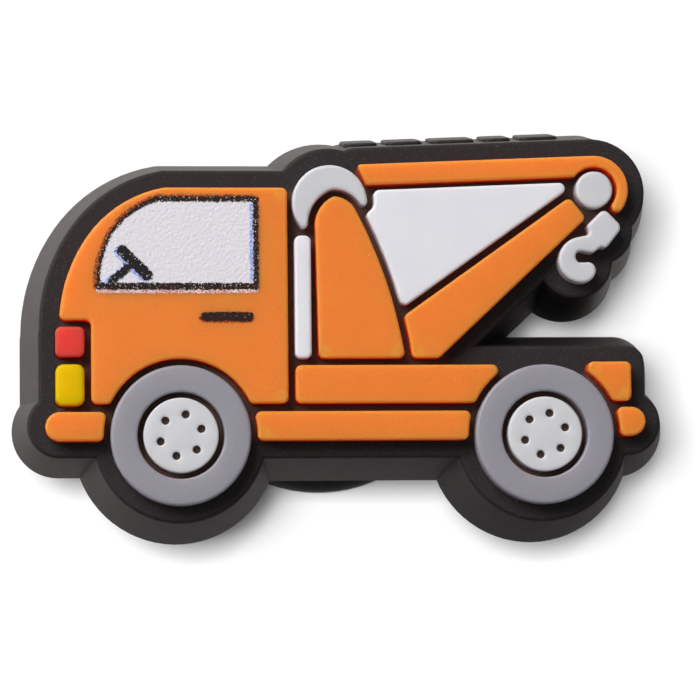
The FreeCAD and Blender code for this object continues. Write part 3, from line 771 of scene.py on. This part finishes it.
class CHARM_OT_prints(bpy.types.Operator):
    """Models the inks of the window, its outline, the steering wheel and the door handle"""

    bl_idname = "charm.prints"
    bl_label = "Prints"

    def execute(self, context):
        sizes = context.scene.charm_sizes
        # It gives the eye a broken black line with pale dots
        black = ink("black_screen_ink", linear("#15100F"), linear("#241814"), (
            (0.085 * MM, 0.025 * MM, 0.26, linear("#D9D2AE")),
            (0.07 * MM, 0.022 * MM, 0.20, linear("#8C7A66")),
        ))
        # It gives the eye a black with a dark red cast
        maroon = ink("handle_screen_ink", linear("#180A0B"), linear("#2A0F0D"), (
            (0.09 * MM, 0.022 * MM, 0.12, linear("#C9B49A")),
            (0.08 * MM, 0.024 * MM, 0.20, linear("#5A2A1E")),
        ))
        # It gives the eye a solid black with pale dots
        dark = ink("steering_screen_ink", linear("#0F0D0F"), linear("#1A1617"), (
            (0.075 * MM, 0.026 * MM, 0.26, linear("#C4C0A4")),
        ))
        # It gives the eye a thick white, faintly lilac, with a leathery sheen
        white = ink("white_screen_ink", linear("#DEDAE0"), linear("#D6D1D8"), (
            (0.20 * MM, 0.030 * MM, 0.20, linear("#F4F2F6")),
        ), grain=0.022 * MM, roughness=0.46, shine=0.46)
        # These three give the eye the stray edges of the white, and of the colours in the black
        pink = ink("white_ink_edge", linear("#EBD2D0"), linear("#E2B8B0"), (
            (0.09 * MM, 0.028 * MM, 0.25, linear("#F6ECEC")),
        ))
        brown = ink("brown_ink_edge", linear("#62241A"), linear("#8C3818"), (
            (0.08 * MM, 0.030 * MM, 0.40, linear("#2A120E")),
        ), grain=0.003 * MM)
        blue = ink("blue_ink_edge", linear("#6680DA"), linear("#B0C0F4"), (
            (0.09 * MM, 0.032 * MM, 0.25, linear("#D4DCFC")),
            (0.08 * MM, 0.030 * MM, 0.30, linear("#2E2A66")),
        ), grain=0.003 * MM)
        stray = sizes.ragged
        # The inks lie a little beside each other: the white low, the blue to the left, and
        # the brown all round the black and a little to the left
        layers = (
            ("brown_ink_film", "outline_print", BROWN_LEVELS, brown, "black_ink", (),
             dict(stray=stray * 1.6, shift=(-0.06, 0.0), grow=0.08, thin=-0.05)),
            ("window_film", "window_print", WHITE_LEVELS, white, "white_ink", ("window_print",),
             dict(stray=stray * 1.2, grow=0.10, peel=sizes.peel, step=0.05)),
            ("white_edge_film", "outline_print", WHITE_LEVELS, pink, "white_ink", (),
             dict(stray=stray * 1.3, shift=(0.0, -0.18), thin=-0.14, without="window_print")),
            ("blue_ink_film", "outline_print", BLUE_LEVELS, blue, "white_ink", (),
             dict(stray=stray * 1.4, shift=(-0.15, 0.0), thin=-0.20, within="window_print")),
            ("outline_film", "outline_print", BLACK_LEVELS, black, "black_ink", ("outline_print",),
             dict(stray=stray * 1.4, grow=0.005, thin=-0.42)),
            ("steering_blue_film", "steering_print", BLUE_LEVELS, blue, "white_ink", (),
             dict(stray=stray * 1.4, shift=(-0.14, -0.06), thin=-0.20)),
            ("steering_film", "steering_print", STEERING_LEVELS, dark, "black_ink",
             ("steering_print",), dict(stray=stray * 1.7)),
            ("handle_brown_film", "handle_print", BROWN_LEVELS, brown, "black_ink", (),
             dict(stray=stray * 1.6, shift=(-0.05, -0.03), grow=0.03, thin=-0.15)),
            ("handle_film", "handle_print", BLACK_LEVELS, maroon, "black_ink", ("handle_print",),
             dict(stray=stray * 0.9, thin=-0.45)),
        )
        for name, node, levels, finish, slot, nodes, shape in layers:
            piece = self.film(name, node, levels, **shape)
            dress(piece, finish, slot, *nodes)
        return {"FINISHED"}

    def film(
        self, name, node, levels, stray, shift=(0, 0), grow=0.0, thin=-1.0,
        within=None, without=None, peel=0.0, step=0.032,
    ):
        """A film of ink, cut from a fine grid where it lies inside a print's outline. Noise
        frays its edge and, if it is thin, breaks it up into drops. Shift, grow and the
        grid's step are in millimetres."""
        low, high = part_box(node)
        step *= MM
        size = high - low + Vector((1, 1, 0)) * 2 * (stray + grow * MM + step)
        middle = (low + high) / 2 + Vector((shift[0], shift[1], 0)) * MM
        foot, top = FACE + levels[0], FACE + levels[1]
        bpy.ops.object.select_all(action="DESELECT")
        bpy.ops.mesh.primitive_grid_add(
            x_subdivisions=round(size.x / step), y_subdivisions=round(size.y / step), size=1,
            location=(middle.x, middle.y, foot),
        )
        bpy.context.active_object.scale = (size.x, size.y, 1)
        piece = new_piece(name)
        depth = self.outline(node, shift)
        inner = self.outline(within) if within else None
        outer = self.outline(without) if without else None
        for face in piece.data.polygons:
            spot = Vector((face.center.x, face.center.y, 0))
            fray = noise.noise(spot / FRAY_FINE) + FRAY_BROAD_SHARE * noise.noise(spot / FRAY_BROAD)
            solid = noise.noise(spot / DROP + DROP_SHIFT) > thin
            inked = depth(spot) - grow * MM < fray * stray and solid
            if (inner and inner(spot) > 0) or (outer and outer(spot) < 0):
                inked = False
            face.select = not inked
        edit_faces(piece)
        bpy.ops.mesh.delete(type="FACE")
        bpy.ops.mesh.select_all(action="SELECT")
        # The cells' square corners are drawn in, so that the drops are round
        bpy.ops.mesh.vertices_smooth(factor=0.5, repeat=1)
        bpy.ops.mesh.extrude_region_move(TRANSFORM_OT_translate={"value": (0, 0, top - foot)})
        close_up()
        if peel:
            self.leather(piece, peel, top)
        bpy.ops.object.shade_smooth_by_angle(angle=FILM_CREASE)
        return piece

    def outline(self, node, shift=(0, 0)):
        """How far a spot lies outside a print's outline, when the print is shifted. It is less
        than nothing inside."""
        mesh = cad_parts[node].data
        walls = [face.vertices for face in mesh.polygons if abs(face.normal.z) < UPWARD]
        lids = [face.vertices for face in mesh.polygons if face.normal.z > UPWARD]
        spots = [vertex.co for vertex in mesh.vertices]
        wall_tree = BVHTree.FromPolygons(spots, walls)
        lid_tree = BVHTree.FromPolygons(spots, lids)
        low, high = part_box(node)
        away = Vector((-shift[0] * MM, -shift[1] * MM, (low.z + high.z) / 2))
        lift = Vector((0, 0, MM))

        def depth(spot):
            distance = wall_tree.find_nearest(spot + away)[3]
            over = lid_tree.ray_cast(spot + away + lift, -lift)[0]
            return distance if over is None else -distance

        return depth

    def leather(self, piece, peel, top):
        """Raises the leathery relief of the window's thick ink."""
        for vertex in piece.data.vertices:
            spot = Vector((vertex.co.x, vertex.co.y, 0)) / PORE
            if vertex.co.z > top - NEAR:
                vertex.co.z += noise.fractal(spot, PORE_FALL, PORE_RATIO, PORE_LAYERS) * peel


class CHARM_OT_stage(bpy.types.Operator):
    """Makes the pale floor, the lamps, the world and the photograph's camera"""

    bl_idname = "charm.stage"
    bl_label = "Stage"

    def execute(self, context):
        stage = context.scene.charm_stage
        floor = self.floor(stage)
        self.world(context, stage)
        # The photograph's own shadow is short and falls to the right, while its light comes
        # from high on the left: one lamp lights the charm, and one the paper under it
        soft = self.lamp("soft_light", SOFT_FROM, stage.soft_width, stage.soft_level)
        over = self.lamp("floor_light", OVER_FROM, stage.floor_width, stage.floor_level)
        for lamp, state in ((soft, "EXCLUDE"), (over, "INCLUDE")):
            lit = bpy.data.collections.new(lamp.name + "_reach")
            lit.objects.link(floor)
            lit.collection_objects[0].light_linking.link_state = state
            lamp.light_linking.receiver_collection = lit
        self.camera(context)
        context.scene.view_settings.view_transform = "Standard"
        return {"FINISHED"}

    def floor(self, stage):
        """A sheet of matt white paper. It gives the eye a soft shadow on plain white, with
        no horizon behind it."""
        bpy.ops.object.select_all(action="DESELECT")
        bpy.ops.mesh.primitive_plane_add(size=PAPER_SIZE, location=(0, 0, 0))
        piece = new_piece("floor")
        material, place = fresh("white_paper")
        seen = add(material, "LightPath").outputs["Is Camera Ray"]
        # Away from the lamps the paper runs on white to the horizon
        away = add(material, "VectorMath", {0: place}, operation="LENGTH")
        far = add(material, "MapRange", {
            "Value": away.outputs["Value"], "From Min": WHITE_FROM, "From Max": WHITE_TO,
            "To Max": stage.floor_lift,
        })
        lift = add(material, "Math", {0: seen, 1: far.outputs[0]}, operation="MULTIPLY")
        # Painted shade: to all rays but the camera's, the paper is painted darker in front and to
        # the right, standing for a darker room there, which the charm's black walls mirror
        slope = add(material, "VectorMath", {0: place, 1: MIRRORED_SLOPE}, operation="DOT_PRODUCT")
        painted_room_shade = tinted(
            material, linear("#636161"), linear("#E8E3DF"), slope.outputs["Value"],
            MIRRORED_DARK, MIRRORED_PALE,
        )
        tone = tinted(material, painted_room_shade, linear("#E0E0E0"), seen, 0.0, 1.0)
        paper = add(material, "BsdfDiffuse", {"Color": tone})
        plain = add(material, "Emission", {"Color": linear("#FFFFFF"), "Strength": lift.outputs[0]})
        both = add(material, "AddShader", {0: paper.outputs[0], 1: plain.outputs[0]})
        add(material, "OutputMaterial", {"Surface": both.outputs[0]})
        piece.data.materials.append(material)
        return piece

    def world(self, context, stage):
        """A white room. To the camera it is plain white, and as light it is dimmer."""
        world = bpy.data.worlds.new("studio")
        context.scene.world = world
        world.use_nodes = True
        world.node_tree.nodes.clear()
        seen = add(world, "LightPath").outputs["Is Camera Ray"]
        view = add(world, "TexCoord").outputs["Generated"]
        height = add(world, "SeparateXYZ", {0: view}).outputs["Z"]
        rise = add(world, "MapRange", interpolation_type="SMOOTHSTEP", inputs={
            "Value": height, "From Min": LOW_SKY, "From Max": HIGH_SKY,
            "To Min": stage.horizon_level, "To Max": stage.world_level,
        })
        level = add(world, "Math", {0: seen, 1: rise.outputs[0]}, operation="MAXIMUM")
        sky = add(world, "Background", {
            "Color": linear("#FFFFFF"), "Strength": level.outputs[0],
        })
        add(world, "OutputWorld", {"Surface": sky.outputs[0]})

    def lamp(self, name, direction, width, level):
        """A square lamp. Its level is the brightness that it gives white paper under it."""
        way = Vector(direction).normalized()
        data = bpy.data.lights.new(name, "AREA")
        data.size = width
        data.energy = level * math.pi ** 2 * LAMP_DISTANCE ** 2 / way.z
        lamp = bpy.data.objects.new(name, data)
        lamp.location = way * LAMP_DISTANCE
        lamp.rotation_mode = "QUATERNION"
        lamp.rotation_quaternion = way.to_track_quat("Z", "Y")
        bpy.context.scene.collection.objects.link(lamp)
        return lamp

    def camera(self, context):
        """The camera that took the photograph, for the charm lying on its button."""
        data = bpy.data.cameras.new("photograph")
        data.sensor_width = CAMERA_FILM
        data.lens = CAMERA_LENS
        data.clip_start, data.clip_end = CAMERA_NEAR, CAMERA_FAR
        camera = bpy.data.objects.new("photograph", data)
        camera.location = CAMERA_PLACE
        camera.rotation_euler = [math.radians(turn) for turn in CAMERA_TURNS]
        context.scene.collection.objects.link(camera)
        context.scene.camera = camera


class CHARM_PT_panel(bpy.types.Panel):
    """Lists the charm's settings and steps"""

    bl_idname = "CHARM_PT_panel"
    bl_label = "Recovery truck charm"
    bl_space_type = "VIEW_3D"
    bl_region_type = "UI"
    bl_category = "Charm"

    def draw(self, context):
        layout = self.layout
        scene = context.scene
        for group in (scene.charm_colours, scene.charm_sizes, scene.charm_stage):
            box = layout.box()
            for name in group.__annotations__:
                box.prop(group, name)
        for step in STEPS:
            layout.operator(step.bl_idname)


GROUPS = {"charm_colours": CharmColours, "charm_sizes": CharmSizes, "charm_stage": CharmStage}
STEPS = (
    CHARM_OT_stage, CHARM_OT_backing, CHARM_OT_panels, CHARM_OT_lamps, CHARM_OT_wheels,
    CHARM_OT_prints,
)


def register():
    for group in (*GROUPS.values(), *STEPS, CHARM_PT_panel):
        bpy.utils.register_class(group)
    for name, group in GROUPS.items():
        setattr(bpy.types.Scene, name, PointerProperty(type=group))


def unregister():
    for name in GROUPS:
        delattr(bpy.types.Scene, name)
    for group in (CHARM_PT_panel, *reversed(STEPS), *GROUPS.values()):
        bpy.utils.unregister_class(group)


def main():
    register()
    bpy.ops.charm.stage()
    bpy.ops.charm.backing()
    bpy.ops.charm.panels()
    bpy.ops.charm.lamps()
    bpy.ops.charm.wheels()
    bpy.ops.charm.prints()


if __name__ == "__main__":
    main()
